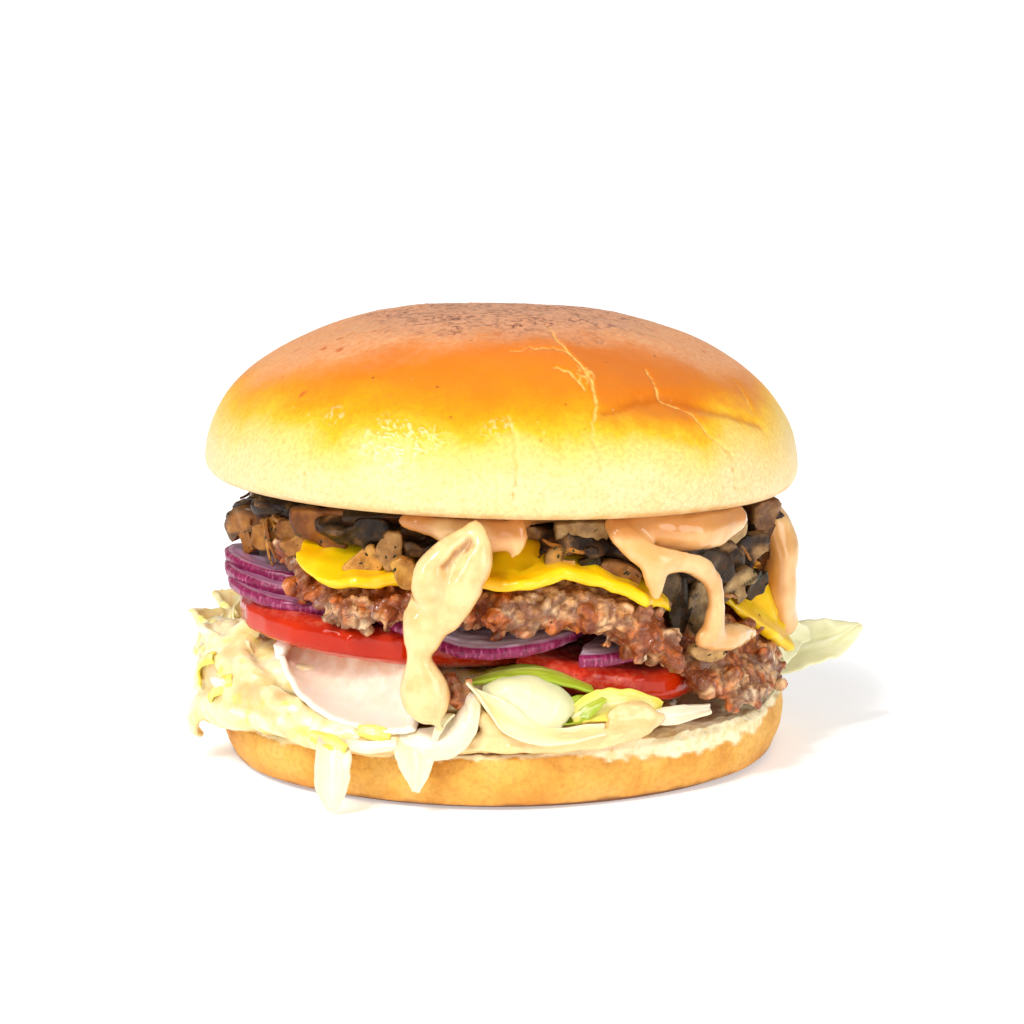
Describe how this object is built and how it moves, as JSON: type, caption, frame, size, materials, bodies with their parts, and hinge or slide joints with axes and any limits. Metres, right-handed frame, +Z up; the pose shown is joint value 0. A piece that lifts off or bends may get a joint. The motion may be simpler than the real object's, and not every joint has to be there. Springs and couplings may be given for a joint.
{
  "type": "mushroom smash burger",
  "caption": "Round burger on a soft bun: lettuce, tomato, red onion, a craggy beef patty, melted cheese, fried mushrooms and pale sauce that drips down the side.",
  "frame": {"origin": "middle of the flat base of the lower bun half, on the surface that the burger rests on", "axes": "+Z up, +X to the right of the shown side, +Y into the depth, away from the shown side"},
  "size_m": [0.1414, 0.1253, 0.0904],
  "materials": {
    "bun": "baked crust, satin on the dome and matte below",
    "beef": "craggy browned mince, moist",
    "cheese": "melted, glossy",
    "mushroom": "fried, moist",
    "sauce": "creamy, glossy",
    "onion": "raw, moist",
    "tomato": "raw, wet",
    "lettuce": "raw leaf, partly coated with sauce"
  },
  "bodies": {
    "root": {"bun_crown": "bun", "bun_heel": "bun", "beef_patty": "beef", "cheese_slice": "cheese", "mushroom_heap": "mushroom", "sauce_upper": "sauce", "sauce_lower": "sauce", "onion_left_1": "onion", "onion_left_2": "onion", "onion_left_3": "onion", "onion_front": "onion", "onion_right": "onion", "onion_back_1": "onion", "onion_back_2": "onion", "tomato_left": "tomato", "tomato_right": "tomato", "tomato_back": "tomato", "lettuce_heap": "lettuce", "leaf_cup": "lettuce", "leaf_hanging": "lettuce", "leaf_tip": "lettuce", "leaf_curl": "lettuce", "leaf_green": "lettuce", "leaf_shell": "lettuce", "leaf_pale": "lettuce", "leaf_right": "lettuce", "leaf_far_right": "lettuce", "leaf_back_1": "lettuce", "leaf_back_2": "lettuce", "leaf_back_3": "lettuce"}
  },
  "joints": []
}
